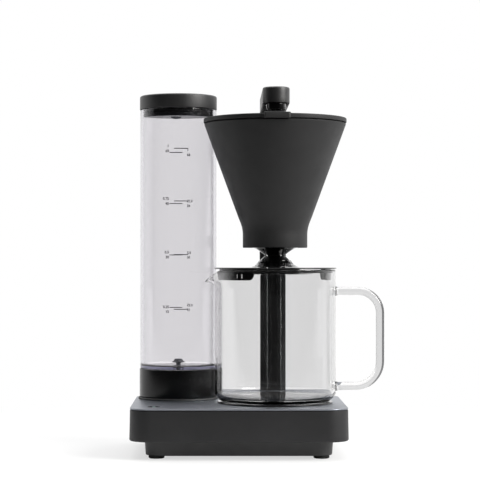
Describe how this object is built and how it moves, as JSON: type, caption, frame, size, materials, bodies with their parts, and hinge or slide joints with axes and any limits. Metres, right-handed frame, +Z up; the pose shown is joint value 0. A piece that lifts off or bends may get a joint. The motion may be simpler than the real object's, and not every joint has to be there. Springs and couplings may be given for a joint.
{
  "type": "drip coffee brewer",
  "caption": "Compact drip filter coffee brewer: clear lift-off water tank, cone filter holder under an L-shaped column and arm, and a glass jug on a low slab base.",
  "frame": {"origin": "centre of the whole footprint, jug handle and cord stub included, on the table plane under the rubber feet", "axes": "+X to the right towards the jug handle, +Y to the rear towards the column and the mains cord, +Z up"},
  "size_m": [0.2606, 0.2148, 0.3743],
  "materials": {
    "charcoal_plastic": "fine moulded texture, satin matt",
    "pan_plastic": "moulded, matt",
    "top_plate_metal": "dark satin metallic lacquer",
    "gloss_black_plastic": "polished gloss black",
    "hot_plate_enamel": "non-stick black coating",
    "tank_clear": "clear moulded plastic with a faint blue cast",
    "jug_glass": "clear borosilicate glass",
    "grey_plastic": "moulded grey",
    "pale_plastic": "moulded, pale and slightly translucent",
    "black_rubber": "matt",
    "silicone_tube": "translucent off-white silicone",
    "steel": "zinc plated",
    "cast_aluminium": "as cast",
    "circuit_board": "solder mask",
    "indicator_lens": "frosted light guide",
    "lead_sleeve": "heat-resistant sleeve"
  },
  "bodies": {
    "base": {"base_housing": "charcoal_plastic", "base_top_plate": "top_plate_metal", "base_pan": "pan_plastic", "foot_front_left": "black_rubber", "foot_front_right": "black_rubber", "foot_rear_left": "black_rubber", "foot_rear_right": "black_rubber", "pan_screw_front_left": "steel", "pan_screw_front_right": "steel", "pan_screw_rear_left": "steel", "pan_screw_rear_right": "steel", "hot_plate": "hot_plate_enamel", "heater_block": "cast_aluminium", "thermostat": "grey_plastic", "thermal_fuse": "grey_plastic", "tank_socket": "pan_plastic", "socket_seal": "black_rubber", "tank_outlet_hose": "silicone_tube", "check_valve": "grey_plastic", "heater_inlet_hose": "silicone_tube", "heater_outlet_hose": "silicone_tube", "control_board": "circuit_board", "power_switch": "grey_plastic", "relay": "circuit_board", "heater_leads": "lead_sleeve", "mains_leads": "lead_sleeve", "cord_strain_relief": "black_rubber", "mains_cord": "black_rubber", "column_shell": "gloss_black_plastic", "column_rear_cover": "gloss_black_plastic", "column_screw_lower": "steel", "column_screw_upper": "steel", "arm_shell": "charcoal_plastic", "arm_lower_cover": "charcoal_plastic", "outlet_spout": "gloss_black_plastic", "riser_tube": "silicone_tube", "holder_bracket": "gloss_black_plastic"},
    "power_button": {"power_button": "gloss_black_plastic", "button_light": "indicator_lens"},
    "tank": {"water_tank": "tank_clear", "tank_base_cup": "gloss_black_plastic", "tank_valve_spring": "steel"},
    "tank_valve": {"tank_valve": "grey_plastic"},
    "tank_cap": {"tank_cap": "charcoal_plastic", "tank_cap_seal": "black_rubber", "tank_cap_vent": "grey_plastic", "tank_cap_plate": "pale_plastic"},
    "filter_holder": {"filter_holder": "charcoal_plastic", "drip_valve_spring": "steel"},
    "filter_lid": {"filter_lid": "charcoal_plastic"},
    "drip_valve": {"drip_valve": "gloss_black_plastic"},
    "jug": {"jug_glass": "jug_glass"},
    "jug_lid": {"jug_lid": "gloss_black_plastic", "jug_lid_gasket": "black_rubber", "jug_lid_dome": "gloss_black_plastic", "jug_lid_flare": "tank_clear"}
  },
  "joints": [
    {"name": "tank_lift", "type": "slide", "parent": "base", "child": "tank", "axis": [0, 0, 1], "range_m": [0, 0.06]},
    {"name": "tank_cap_lift", "type": "slide", "parent": "tank", "child": "tank_cap", "axis": [0, 0, 1], "range_m": [0, 0.06]},
    {"name": "tank_valve_travel", "type": "slide", "parent": "tank", "child": "tank_valve", "axis": [0, 0, 1], "range_m": [-0.003, 0], "deforming": ["tank_valve_spring"]},
    {"name": "filter_holder_slide", "type": "slide", "parent": "base", "child": "filter_holder", "axis": [0, -1, 0], "range_m": [0, 0.13]},
    {"name": "filter_lid_lift", "type": "slide", "parent": "filter_holder", "child": "filter_lid", "axis": [0, 0, 1], "range_m": [0, 0.005]},
    {"name": "drip_valve_travel", "type": "slide", "parent": "filter_holder", "child": "drip_valve", "axis": [0, 0, 1], "range_m": [0, 0.003], "stiffness_N_per_m": 250, "springref_m": -0.002, "deforming": ["drip_valve_spring"]},
    {"name": "jug_slide", "type": "slide", "parent": "base", "child": "jug", "axis": [0, -1, 0], "range_m": [0, 0.15]},
    {"name": "jug_lid_twist", "type": "hinge", "parent": "jug", "child": "jug_lid", "pos_m": [0.0173, -0.02142, 0.19], "axis": [0, 0, 1], "range_deg": [0, 90]},
    {"name": "power_button_press", "type": "slide", "parent": "base", "child": "power_button", "axis": [0, 0, -1], "range_m": [0, 0.0012], "stiffness_N_per_m": 900}
  ]
}
